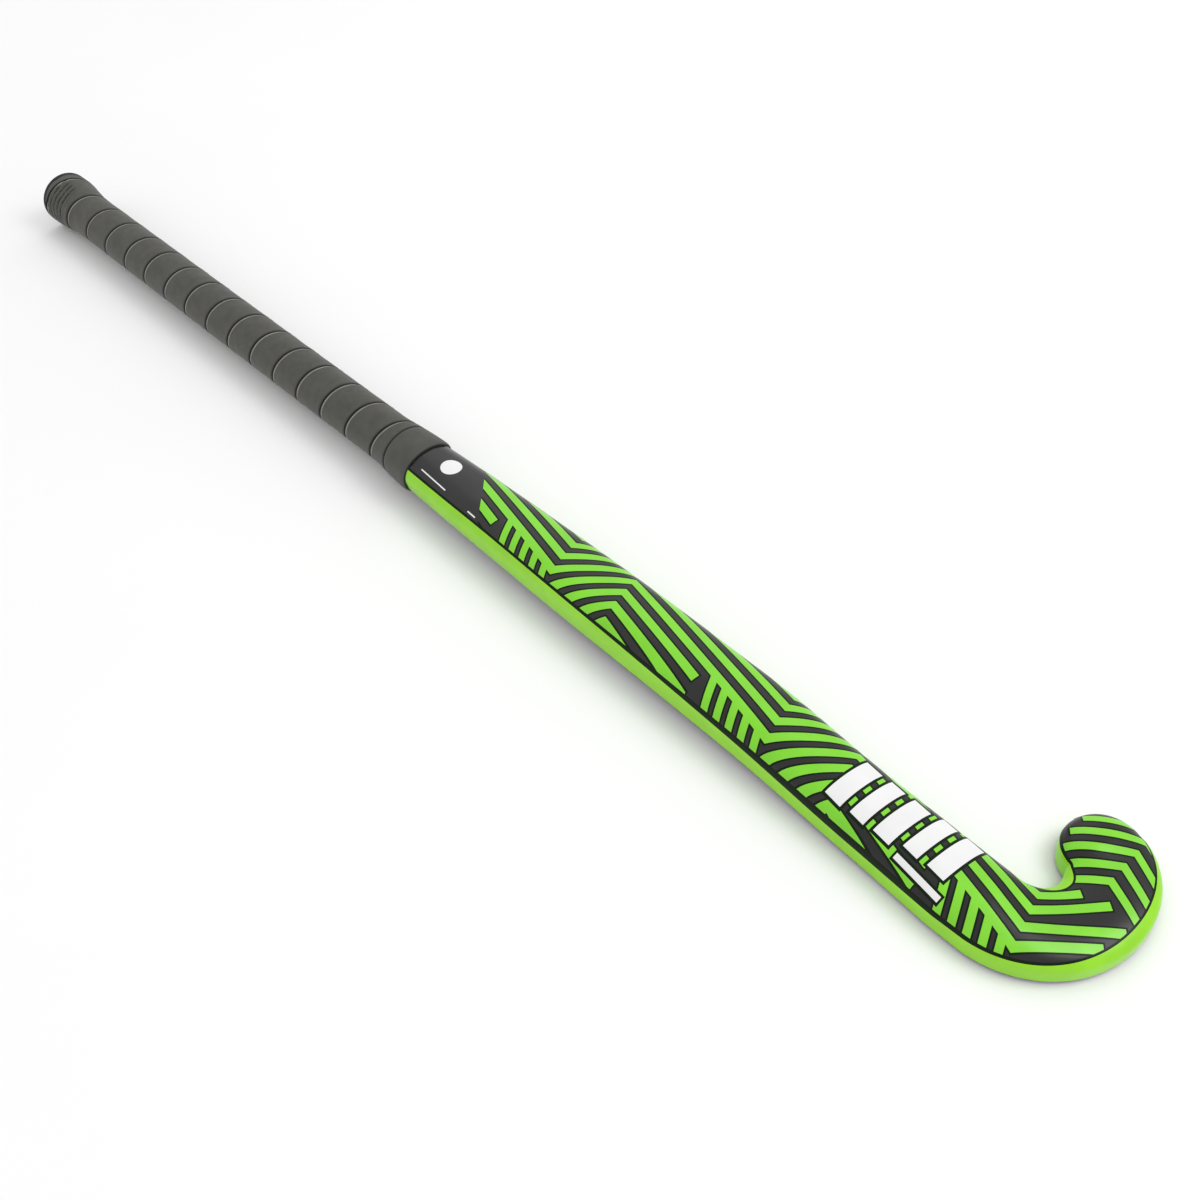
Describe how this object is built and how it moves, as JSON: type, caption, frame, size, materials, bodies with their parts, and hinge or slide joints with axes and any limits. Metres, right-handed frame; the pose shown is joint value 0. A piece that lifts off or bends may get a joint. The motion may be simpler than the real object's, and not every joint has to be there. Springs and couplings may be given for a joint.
{
  "type": "field hockey stick",
  "caption": "Composite field hockey stick with a flat playing face, rounded back, curved hook and spiral cushion grip.",
  "frame": {"origin": "middle of the bottom of the bounding box, on the surface that the stick lies on, playing face down", "axes": "+X from the handle end towards the head, +Y towards the toe of the hook, +Z out of the rounded back"},
  "size_m": [0.915, 0.1122, 0.038],
  "materials": {
    "lacquered_shell": "black satin-gloss lacquer over fibre laminate",
    "shaft_foam": "light cut foam",
    "head_foam": "dense cut foam",
    "plug_plastic": "moulded, matt",
    "cap_rubber": "matt",
    "collar_foam": "closed-cell foam",
    "liner_tape": "adhesive tape",
    "grip_cushion": "matt soft-touch cushion tape",
    "band_tape": "smooth matt tape",
    "green_film": "satin-gloss lime green under clear lacquer",
    "back_film": "satin-gloss charcoal with lime stripes under clear lacquer"
  },
  "bodies": {
    "root": {"stick_shell": "lacquered_shell", "shaft_core": "shaft_foam", "head_core": "head_foam", "handle_plug": "plug_plastic", "butt_cap": "cap_rubber", "butt_collar": "collar_foam", "grip_liner": "liner_tape", "grip_tape": "grip_cushion", "finish_band": "band_tape", "side_band": "green_film", "back_graphic": "back_film"}
  },
  "joints": []
}
